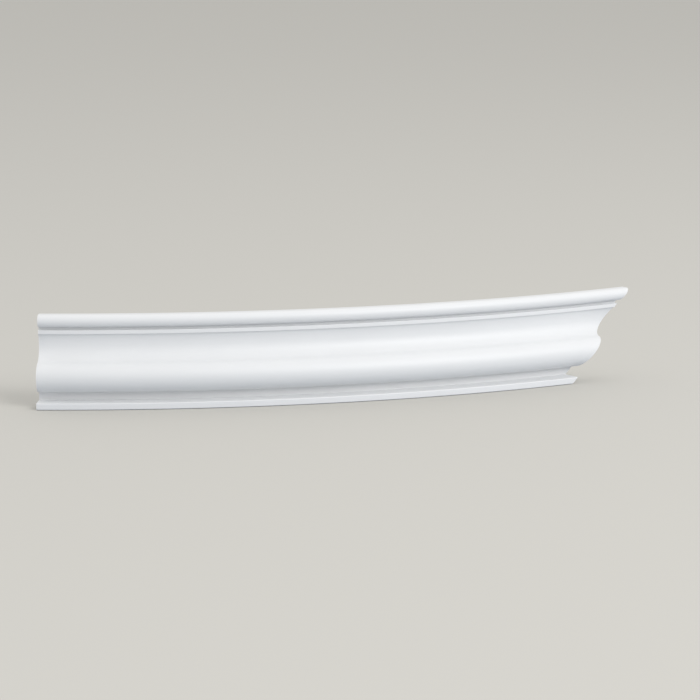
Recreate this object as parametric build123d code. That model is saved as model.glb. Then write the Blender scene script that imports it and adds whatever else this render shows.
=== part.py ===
from build123d import *
import math
import os

# A length of flexible wall moulding, bent about its plain back and standing on its inner edge.
# One end is cut square and the other is mitred. Sizes are in millimetres.

# Bend and length
bend_radius = 640.0  # of the plain back
outer_edge_length = 420.0  # along the back, from the square end to the tip of the mitre
mitre_angle = 45.0  # from a square cut, in degrees

# Section: heights stack up from the inner edge, and projections are measured out from the back
lip_height = 4.3
lip_projection = 21.0
lower_quirk_height = 5.7
lower_quirk_projection = 7.5
nose_radius = 9.8
nose_projection = 20.0
cyma_height = 27.5  # from the front of the nose to the fillet
hollow_radius = 10.0  # below the deepest line of the hollow
flare_radius = 17.0  # above it
hollow_projection = 3.5  # where the hollow is deepest
fillet_height = 2.6
fillet_projection = 6.5
upper_quirk_height = 2.1
upper_quirk_projection = 3.5
bead_radius = 4.0  # of the half round on the outer edge
bead_projection = 9.0
arris_radius = 0.6  # on the lip


def moulding_section():
    """Closed section in the XZ plane, with the projection along X and the bend's axis on Z."""
    lip_top = lip_height
    nose_bottom = lip_top + lower_quirk_height
    nose_level = nose_bottom + nose_radius
    cyma_top = nose_level + cyma_height
    fillet_top = cyma_top + fillet_height
    bead_bottom = fillet_top + upper_quirk_height
    bead_centre = bead_projection - bead_radius

    lip_and_quirk = FilletPolyline(
        (0, 0),
        (lip_projection, 0),
        (lip_projection, lip_top),
        (lower_quirk_projection, lip_top),
        (lower_quirk_projection, nose_bottom),
        (nose_projection - nose_radius, nose_bottom),
        radius=[arris_radius, arris_radius, 0, 0],
    )
    # The circles of the nose and the hollow touch, so the cyma runs through in one slope where they meet.
    centre_distance = nose_radius + hollow_radius
    slope = math.degrees(math.acos(1 - (nose_projection - hollow_projection) / centre_distance))
    nose_centre = Vector(nose_projection - nose_radius, nose_level)
    hollow_centre = nose_centre + Vector(centre_distance, 0).rotate(Axis.Z, slope)
    nose = CenterArc(nose_centre, nose_radius, -90, 90 + slope)
    hollow = CenterArc(hollow_centre, hollow_radius, 180 + slope, -slope)
    # Above its deepest line the hollow runs on in a wider circle, which flares out to the fillet.
    flare_centre = hollow_centre + Vector(flare_radius - hollow_radius, 0)
    flare_turn = math.degrees(math.asin((cyma_top - flare_centre.Y) / flare_radius))
    flare = CenterArc(flare_centre, flare_radius, 180, -flare_turn)
    fillet_and_quirk = Polyline(
        flare @ 1,
        (fillet_projection, cyma_top),
        (fillet_projection, fillet_top),
        (upper_quirk_projection, fillet_top),
        (upper_quirk_projection, bead_bottom),
        (bead_centre, bead_bottom),
    )
    bead = TangentArc(fillet_and_quirk @ 1, (bead_centre, moulding_width()), tangent=(1, 0))
    edge_and_back = Polyline(bead @ 1, (0, moulding_width()), (0, 0))
    outline = Curve() + [lip_and_quirk, nose, hollow, flare, fillet_and_quirk, bead, edge_and_back]
    return Plane.XZ * Pos(X=bend_radius) * make_face(outline)


def moulding_width():
    """Width of the moulding across its back, from the inner edge to the outer edge."""
    lip_to_nose = lip_height + lower_quirk_height + nose_radius
    cyma_to_quirk = cyma_height + fillet_height + upper_quirk_height
    return lip_to_nose + cyma_to_quirk + 2 * bead_radius


def mitre_plane(square_end_turn):
    """Plane of the saw cut, square to the back at the middle of the mitre, with its normal to the offcut."""
    mitre_length = moulding_width() * math.tan(math.radians(mitre_angle))
    turn = math.degrees((outer_edge_length - mitre_length / 2) / bend_radius)
    middle = Rot(Z=square_end_turn + turn) * Pos(X=bend_radius, Z=moulding_width() / 2)
    return Plane(middle * Rot(X=-90 - mitre_angle))


def bent_moulding():
    """Bent length with its face to -Y and its square end to the left, bottom centre at the origin."""
    tip_turn = math.degrees(outer_edge_length / bend_radius)
    blank_turn = math.degrees((outer_edge_length + moulding_width()) / bend_radius)  # uncut, so past the tip
    square_end_turn = -90 - tip_turn / 2
    blank = revolve(Rot(Z=square_end_turn) * moulding_section(), Axis.Z, blank_turn)
    moulding = split(blank, mitre_plane(square_end_turn), keep=Keep.BOTTOM)
    box = moulding.bounding_box()
    return Pos(-box.center().X, -box.center().Y, -box.min.Z) * moulding


os.makedirs("parts", exist_ok=True)
export_step(bent_moulding(), "parts/moulding.step")
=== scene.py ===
import math
import bmesh
import bpy
from mathutils import Matrix, Vector


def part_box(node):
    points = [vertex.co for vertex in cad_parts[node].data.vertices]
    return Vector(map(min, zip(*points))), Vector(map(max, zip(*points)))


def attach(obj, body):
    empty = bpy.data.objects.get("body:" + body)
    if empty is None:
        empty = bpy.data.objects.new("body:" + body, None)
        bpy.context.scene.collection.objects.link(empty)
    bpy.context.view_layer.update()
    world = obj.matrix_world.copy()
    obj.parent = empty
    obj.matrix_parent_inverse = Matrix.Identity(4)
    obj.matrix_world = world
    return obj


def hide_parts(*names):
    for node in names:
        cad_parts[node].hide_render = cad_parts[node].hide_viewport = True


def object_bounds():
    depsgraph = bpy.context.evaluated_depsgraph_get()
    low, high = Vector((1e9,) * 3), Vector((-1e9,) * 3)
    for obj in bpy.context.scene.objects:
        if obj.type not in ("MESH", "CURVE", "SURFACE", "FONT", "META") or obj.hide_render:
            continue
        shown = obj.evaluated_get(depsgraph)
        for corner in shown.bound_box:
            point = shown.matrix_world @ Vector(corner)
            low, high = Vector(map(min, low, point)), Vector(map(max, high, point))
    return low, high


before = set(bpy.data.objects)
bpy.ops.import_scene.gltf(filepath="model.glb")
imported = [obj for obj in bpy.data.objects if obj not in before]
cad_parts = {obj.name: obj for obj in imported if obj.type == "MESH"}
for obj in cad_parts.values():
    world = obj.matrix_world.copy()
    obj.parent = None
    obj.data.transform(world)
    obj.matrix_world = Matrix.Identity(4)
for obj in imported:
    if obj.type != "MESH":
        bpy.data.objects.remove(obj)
cad_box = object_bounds()

MM = 0.001

# Bend and length of the moulding
BACK_RADIUS = 640.0 * MM  # of the plain back
OUTER_EDGE_LENGTH = 420.0 * MM  # along the back, from the square end to the tip of the mitre
MITRE_ANGLE = math.radians(45.0)  # from a square cut

# Section: heights stack up from the inner edge, and projections are measured out from the back
LIP_HEIGHT = 4.3 * MM
LIP_PROJECTION = 21.0 * MM
LOWER_QUIRK_HEIGHT = 5.7 * MM
LOWER_QUIRK_PROJECTION = 7.5 * MM
NOSE_RADIUS = 9.8 * MM
NOSE_PROJECTION = 20.0 * MM
CYMA_HEIGHT = 27.5 * MM  # from the front of the nose to the fillet
HOLLOW_RADIUS = 10.0 * MM  # below the deepest line of the hollow
FLARE_RADIUS = 17.0 * MM  # above it
HOLLOW_PROJECTION = 3.5 * MM  # where the hollow is deepest
FILLET_HEIGHT = 2.6 * MM
FILLET_PROJECTION = 6.5 * MM
UPPER_QUIRK_HEIGHT = 2.1 * MM
UPPER_QUIRK_PROJECTION = 3.5 * MM
BEAD_RADIUS = 4.0 * MM  # of the half round on the outer edge
BEAD_PROJECTION = 9.0 * MM
LIP_ARRIS_RADIUS = 0.6 * MM
CAST_CORNER_RADIUS = 0.35 * MM  # that a mould leaves in every other corner

# Levels of the section
NOSE_BOTTOM = LIP_HEIGHT + LOWER_QUIRK_HEIGHT
NOSE_LEVEL = NOSE_BOTTOM + NOSE_RADIUS
CYMA_TOP = NOSE_LEVEL + CYMA_HEIGHT
FILLET_TOP = CYMA_TOP + FILLET_HEIGHT
BEAD_BOTTOM = FILLET_TOP + UPPER_QUIRK_HEIGHT
WIDTH = BEAD_BOTTOM + 2 * BEAD_RADIUS

# Fineness of the mesh
ARC_STEP = math.radians(5.0)
CORNER_SEGMENTS = 4
BEND_STEPS = 120
SHARP_ANGLE = math.radians(40.0)  # from which an edge is left sharp
ON_THE_CUT = 0.0001 * MM  # how near a point counts as on the saw cut
ON_THE_BACK = 0.01 * MM  # how near a point counts as on the back

# Finish
POLYURETHANE_IOR = 1.5

# Camera: left of the middle of the bend, with a long lens
VIEW_LEFT = math.radians(17.7)
VIEW_UP = math.radians(9.5)
VIEW_DISTANCE = 1.66  # metres
LENS_MM = 128.0

# Floor and light, in metres and watts
FLOOR_COLOUR = "#cbc9c3"  # as the eye sees it
FLOOR_LIGHT = "#b4b9bf"  # of the light that it throws up
FLOOR_HALF = 60.0
FLOOR_GAP = 0.2 * MM  # under the moulding, so that the two don't flicker
KEY_RIGHT = math.radians(30.0)
KEY_UP = math.radians(32.0)
KEY_DISTANCE = 4.4
KEY_SIZE = 2.3
KEY_WATTS = 95.0
SKY_FRONT = 0.60  # strength behind the camera
SKY_BACK = 1.06  # strength behind the moulding


def linear(colour):
    """Linear RGBA of an sRGB hex colour."""
    parts = [int(colour[i:i + 2], 16) / 255 for i in (1, 3, 5)]
    return [p / 12.92 if p <= 0.04045 else ((p + 0.055) / 1.055) ** 2.4 for p in parts] + [1.0]


def add_node(tree, kind, inputs=None, **settings):
    """A new node with its settings, and with each input set to a value or linked to an output."""
    made = tree.nodes.new("ShaderNode" + kind)
    for name, value in settings.items():
        setattr(made, name, value)
    for socket, value in (inputs or {}).items():
        if isinstance(value, bpy.types.NodeSocket):
            tree.links.new(value, made.inputs[socket])
        else:
            made.inputs[socket].default_value = value
    return made


def new_material(name):
    """An empty material, its node tree and its surface socket."""
    material = bpy.data.materials.new(name)
    material.use_nodes = True
    material.node_tree.nodes.clear()
    output = add_node(material.node_tree, "OutputMaterial")
    return material, material.node_tree, output.inputs["Surface"]


def primed_polyurethane():
    """Polyurethane under a sprayed white primer: an even cool white, a low satin sheen, a faint grain."""
    spray_grain = 0.9 * MM  # coarser than real, to show
    grain_depth = 0.04 * MM
    coat_patch = 30.0 * MM
    material, tree, surface = new_material("primed_polyurethane")
    place = add_node(tree, "TexCoord").outputs["Object"]
    patches = add_node(tree, "TexNoise", {"Vector": place, "Scale": 1 / coat_patch, "Detail": 2.0})
    grain = add_node(tree, "TexNoise", {"Vector": place, "Scale": 1 / spray_grain, "Detail": 1.0})
    colour = add_node(tree, "Mix", {
        "Factor": patches.outputs["Fac"], "A": linear("#e8e9ea"), "B": linear("#ebeced")}, data_type="RGBA")
    roughness = add_node(tree, "MapRange", {"Value": patches.outputs["Fac"], "To Min": 0.42, "To Max": 0.52})
    bump = add_node(tree, "Bump", {"Height": grain.outputs["Fac"], "Strength": 0.5, "Distance": grain_depth})
    shader = add_node(tree, "BsdfPrincipled", {
        "Base Color": colour.outputs["Result"], "Roughness": roughness.outputs["Result"],
        "IOR": POLYURETHANE_IOR, "Normal": bump.outputs["Normal"]})
    tree.links.new(shader.outputs["BSDF"], surface)
    return material


def sawn_polyurethane():
    """Bare polyurethane on the cut ends: a warmer matt white with the fine ridges of a saw blade."""
    tooth_spacing = 1.2 * MM
    ridge_depth = 0.05 * MM
    bands_per_unit = math.pi / 10  # of a wave texture at scale 1
    material, tree, surface = new_material("sawn_polyurethane")
    place = add_node(tree, "TexCoord").outputs["Object"]
    ridges = add_node(tree, "TexWave", {
        "Vector": place, "Scale": bands_per_unit / tooth_spacing, "Distortion": 3.0, "Detail": 3.0},
        bands_direction="Z")
    colour = add_node(tree, "Mix", {
        "Factor": ridges.outputs["Fac"], "A": linear("#e0ddd5"), "B": linear("#e5e2da")}, data_type="RGBA")
    bump = add_node(tree, "Bump", {
        "Height": ridges.outputs["Fac"], "Strength": 0.6, "Distance": ridge_depth})
    shader = add_node(tree, "BsdfPrincipled", {
        "Base Color": colour.outputs["Result"], "Roughness": 0.7,
        "IOR": POLYURETHANE_IOR, "Normal": bump.outputs["Normal"]})
    tree.links.new(shader.outputs["BSDF"], surface)
    return material


def cast_polyurethane():
    """Bare polyurethane on the back: matt, with faint streaks along it where the cast was struck off."""
    streak_length = 70.0 * MM
    streak_width = 1.6 * MM
    streak_depth = 0.03 * MM
    material, tree, surface = new_material("cast_polyurethane")
    along = add_node(tree, "UVMap", uv_map="along_the_length").outputs["UV"]
    stretched = add_node(tree, "Mapping", {
        "Vector": along, "Scale": (1 / streak_length, 1 / streak_width, 1.0)})
    streaks = add_node(tree, "TexNoise", {
        "Vector": stretched.outputs["Vector"], "Scale": 1.0, "Detail": 3.0})
    colour = add_node(tree, "Mix", {
        "Factor": streaks.outputs["Fac"], "A": linear("#dedcd6"), "B": linear("#e6e5e0")}, data_type="RGBA")
    roughness = add_node(tree, "MapRange", {"Value": streaks.outputs["Fac"], "To Min": 0.6, "To Max": 0.75})
    bump = add_node(tree, "Bump", {
        "Height": streaks.outputs["Fac"], "Strength": 0.5, "Distance": streak_depth})
    shader = add_node(tree, "BsdfPrincipled", {
        "Base Color": colour.outputs["Result"], "Roughness": roughness.outputs["Result"],
        "IOR": POLYURETHANE_IOR, "Normal": bump.outputs["Normal"]})
    tree.links.new(shader.outputs["BSDF"], surface)
    return material


def line_to(outline, corner, projection, height):
    """The new corner at the end of a straight run from corner."""
    end = bmesh.ops.extrude_vert_indiv(outline, verts=[corner])["verts"][0]
    end.co = (BACK_RADIUS + projection, 0, height)
    return end


def turn_about(outline, corner, centre, angle):
    """The new corner at the end of a round run from corner, anticlockwise if angle is positive."""
    steps = max(round(abs(angle) / ARC_STEP), 1)
    turned = bmesh.ops.spin(outline, geom=[corner], cent=centre, axis=(0, -1, 0), angle=angle, steps=steps)
    return next(part for part in turned["geom_last"] if isinstance(part, bmesh.types.BMVert))


def round_corners(outline, corners, radius):
    """Rounds corners of the outline off."""
    bmesh.ops.bevel(
        outline, geom=corners, offset=radius, offset_type="OFFSET", segments=CORNER_SEGMENTS,
        profile=0.5, affect="VERTICES", material=-1)


def moulding_section():
    """The section as one face, with the projection along X from the back and the bend's axis on Z."""
    outline = bmesh.new()
    # The circles of the nose and the hollow touch, and above its deepest line the hollow flares wider.
    centre_distance = NOSE_RADIUS + HOLLOW_RADIUS
    slope = math.acos(1 - (NOSE_PROJECTION - HOLLOW_PROJECTION) / centre_distance)
    nose_centre = Vector((BACK_RADIUS + NOSE_PROJECTION - NOSE_RADIUS, 0, NOSE_LEVEL))
    hollow_centre = nose_centre + centre_distance * Vector((math.cos(slope), 0, math.sin(slope)))
    flare_centre = hollow_centre + Vector((FLARE_RADIUS - HOLLOW_RADIUS, 0, 0))
    flare = math.asin((CYMA_TOP - flare_centre.z) / FLARE_RADIUS)
    bead_centre = Vector((BACK_RADIUS + BEAD_PROJECTION - BEAD_RADIUS, 0, WIDTH - BEAD_RADIUS))

    inner_back = outline.verts.new((BACK_RADIUS, 0, 0))
    lip_under = line_to(outline, inner_back, LIP_PROJECTION, 0)
    lip_over = line_to(outline, lip_under, LIP_PROJECTION, LIP_HEIGHT)
    lip_root = line_to(outline, lip_over, LOWER_QUIRK_PROJECTION, LIP_HEIGHT)
    nose_root = line_to(outline, lip_root, LOWER_QUIRK_PROJECTION, NOSE_BOTTOM)
    nose_start = line_to(outline, nose_root, NOSE_PROJECTION - NOSE_RADIUS, NOSE_BOTTOM)
    cyma_turn = turn_about(outline, nose_start, nose_centre, math.pi / 2 + slope)
    hollow_depth = turn_about(outline, cyma_turn, hollow_centre, -slope)
    hollow_end = turn_about(outline, hollow_depth, flare_centre, -flare)
    fillet_under = line_to(outline, hollow_end, FILLET_PROJECTION, CYMA_TOP)
    fillet_over = line_to(outline, fillet_under, FILLET_PROJECTION, FILLET_TOP)
    fillet_root = line_to(outline, fillet_over, UPPER_QUIRK_PROJECTION, FILLET_TOP)
    bead_root = line_to(outline, fillet_root, UPPER_QUIRK_PROJECTION, BEAD_BOTTOM)
    bead_start = line_to(outline, bead_root, BEAD_PROJECTION - BEAD_RADIUS, BEAD_BOTTOM)
    bead_end = turn_about(outline, bead_start, bead_centre, math.pi)
    outer_back = line_to(outline, bead_end, 0, WIDTH)
    bmesh.ops.contextual_create(outline, geom=[outer_back, inner_back])

    cast_corners = [lip_root, nose_root, hollow_end, fillet_under, fillet_over, fillet_root, bead_root]
    round_corners(outline, [lip_under, lip_over], LIP_ARRIS_RADIUS)
    round_corners(outline, cast_corners, CAST_CORNER_RADIUS)
    bmesh.ops.contextual_create(outline, geom=outline.edges[:])
    return outline


def bend_and_mitre(mesh):
    """Sweeps the section round the bend from its square end and cuts the other end off at the mitre."""
    blank_turn = (OUTER_EDGE_LENGTH + WIDTH) / BACK_RADIUS  # uncut, so past the tip
    section = mesh.verts[:] + mesh.edges[:] + mesh.faces[:]
    bmesh.ops.spin(
        mesh, geom=section, cent=(0, 0, 0), axis=(0, 0, 1), angle=blank_turn, steps=BEND_STEPS)
    mitre_turn = (OUTER_EDGE_LENGTH - WIDTH * math.tan(MITRE_ANGLE) / 2) / BACK_RADIUS
    outward = Vector((math.cos(mitre_turn), math.sin(mitre_turn), 0))
    onward = Vector((-math.sin(mitre_turn), math.cos(mitre_turn), 0))
    down = Vector((0, 0, -1))
    cut = bmesh.ops.bisect_plane(
        mesh, geom=mesh.verts[:] + mesh.edges[:] + mesh.faces[:], dist=ON_THE_CUT,
        plane_co=outward * BACK_RADIUS - down * WIDTH / 2,
        plane_no=onward * math.cos(MITRE_ANGLE) + down * math.sin(MITRE_ANGLE), clear_outer=True)
    rim = [part for part in cut["geom_cut"] if isinstance(part, bmesh.types.BMEdge)]
    bmesh.ops.edgeloop_fill(mesh, edges=rim)
    bmesh.ops.recalc_face_normals(mesh, faces=mesh.faces[:])


def finish_faces(mesh):
    """Gives the moulded face, the ends and the back their materials, and maps the length and the height."""
    face_slot, end_slot, back_slot = 0, 1, 2
    swept_corners = 8  # more than any face of the sweep has, and far fewer than the ends have
    along = mesh.loops.layers.uv.new("along_the_length")
    for face in mesh.faces:
        is_end = len(face.verts) > swept_corners
        is_back = all(abs(vert.co.xy.length - BACK_RADIUS) < ON_THE_BACK for vert in face.verts)
        face.material_index = end_slot if is_end else back_slot if is_back else face_slot
        face.smooth = not is_end
        for loop in face.loops:
            turn = math.atan2(loop.vert.co.y, loop.vert.co.x)
            loop[along].uv = (turn * BACK_RADIUS, loop.vert.co.z)


def place_in_frame(mesh):
    """Turns the face to -Y and the square end to the left, and centres the mesh on the node's box."""
    square_end_turn = -math.pi / 2 - OUTER_EDGE_LENGTH / BACK_RADIUS / 2
    to_front = Matrix.Rotation(square_end_turn, 3, "Z")
    bmesh.ops.rotate(mesh, verts=mesh.verts[:], cent=(0, 0, 0), matrix=to_front)
    low = Vector([min(vert.co[axis] for vert in mesh.verts) for axis in range(3)])
    high = Vector([max(vert.co[axis] for vert in mesh.verts) for axis in range(3)])
    cad_low, cad_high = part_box("moulding")
    bmesh.ops.translate(mesh, verts=mesh.verts[:], vec=(cad_low + cad_high - low - high) / 2)


def moulding():
    """The bent length, standing on its inner edge."""
    mesh = moulding_section()
    bend_and_mitre(mesh)
    finish_faces(mesh)
    place_in_frame(mesh)
    data = bpy.data.meshes.new("bent_moulding")
    mesh.to_mesh(data)
    mesh.free()
    data.set_sharp_from_angle(angle=SHARP_ANGLE)
    for material in (primed_polyurethane(), sawn_polyurethane(), cast_polyurethane()):
        data.materials.append(material)
    piece = bpy.data.objects.new("bent_moulding", data)
    bpy.context.scene.collection.objects.link(piece)
    weighted = piece.modifiers.new("even_flats", "WEIGHTED_NORMAL")
    weighted.keep_sharp = True
    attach(piece, "root")
    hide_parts("moulding")


def shown(tree):
    """1 where a ray shows what it meets, to the camera or in a reflection, and 0 where it only lights."""
    path = add_node(tree, "LightPath").outputs
    direct = add_node(tree, "Math", {0: path["Is Camera Ray"], 1: path["Is Glossy Ray"]}, operation="ADD")
    every = add_node(tree, "Math", {
        0: direct.outputs[0], 1: path["Is Transmission Ray"]}, operation="ADD", use_clamp=True)
    return every.outputs[0]


def pale_floor():
    """A plain matt floor: a pale warm grey on which white stands out, and it throws a cool light."""
    material, tree, surface = new_material("pale_floor")
    thrown = add_node(tree, "BsdfDiffuse", {"Color": linear(FLOOR_LIGHT)})
    seen = add_node(tree, "BsdfDiffuse", {"Color": linear(FLOOR_COLOUR)})
    mixed = add_node(tree, "MixShader", {0: shown(tree), 1: thrown.outputs["BSDF"], 2: seen.outputs["BSDF"]})
    tree.links.new(mixed.outputs["Shader"], surface)
    ground = bmesh.new()
    bmesh.ops.create_grid(
        ground, x_segments=1, y_segments=1, size=FLOOR_HALF, matrix=Matrix.Translation((0, 0, -FLOOR_GAP)))
    data = bpy.data.meshes.new("floor")
    ground.to_mesh(data)
    ground.free()
    data.materials.append(material)
    floor = bpy.data.objects.new("floor", data)
    bpy.context.scene.collection.objects.link(floor)


def soft_sky():
    """Soft light from all round, stronger behind, where no lamp is. To the eye it is like the far floor."""
    world = bpy.data.worlds.new("soft_sky")
    world.use_nodes = True
    tree = world.node_tree
    tree.nodes.clear()
    direction = add_node(tree, "SeparateXYZ", {"Vector": add_node(tree, "TexCoord").outputs["Generated"]})
    strength = add_node(tree, "MapRange", {
        "Value": direction.outputs["Y"], "From Min": -1.0, "To Min": SKY_FRONT, "To Max": SKY_BACK})
    sky = add_node(tree, "Background", {"Color": linear("#ffffff"), "Strength": strength.outputs["Result"]})
    on_floor = (SKY_FRONT + SKY_BACK) / 2
    backdrop = add_node(tree, "Background", {"Color": linear(FLOOR_COLOUR), "Strength": on_floor})
    mixed = add_node(tree, "MixShader", {
        0: shown(tree), 1: sky.outputs["Background"], 2: backdrop.outputs["Background"]})
    output = add_node(tree, "OutputWorld", {"Surface": mixed.outputs["Shader"]})
    output.is_active_output = True
    bpy.context.scene.world = world


def away(centre, right, up, distance):
    """The point at that distance from centre, turned to the right of straight in front, and up."""
    level = Vector((math.sin(right), -math.cos(right), 0))
    return centre + distance * (level * math.cos(up) + Vector((0, 0, math.sin(up))))


def aim(name, data, place, centre):
    """A lamp or camera at place, looking at centre."""
    made = bpy.data.objects.new(name, data)
    made.location = place
    made.rotation_euler = (centre - place).to_track_quat("-Z", "Y").to_euler()
    bpy.context.scene.collection.objects.link(made)
    return made


def light_and_camera(centre):
    """A large soft lamp to the upper right, and the camera to the left of straight in front."""
    lamp = bpy.data.lights.new("key_lamp", "AREA")
    lamp.size = KEY_SIZE
    lamp.energy = KEY_WATTS
    aim("key_lamp", lamp, away(centre, KEY_RIGHT, KEY_UP, KEY_DISTANCE), centre)
    lens = bpy.data.cameras.new("camera")
    lens.lens = LENS_MM
    bpy.context.scene.camera = aim("camera", lens, away(centre, -VIEW_LEFT, VIEW_UP, VIEW_DISTANCE), centre)


moulding()
pale_floor()
soft_sky()
light_and_camera((cad_box[0] + cad_box[1]) / 2)
bpy.context.scene.view_settings.view_transform = "Standard"
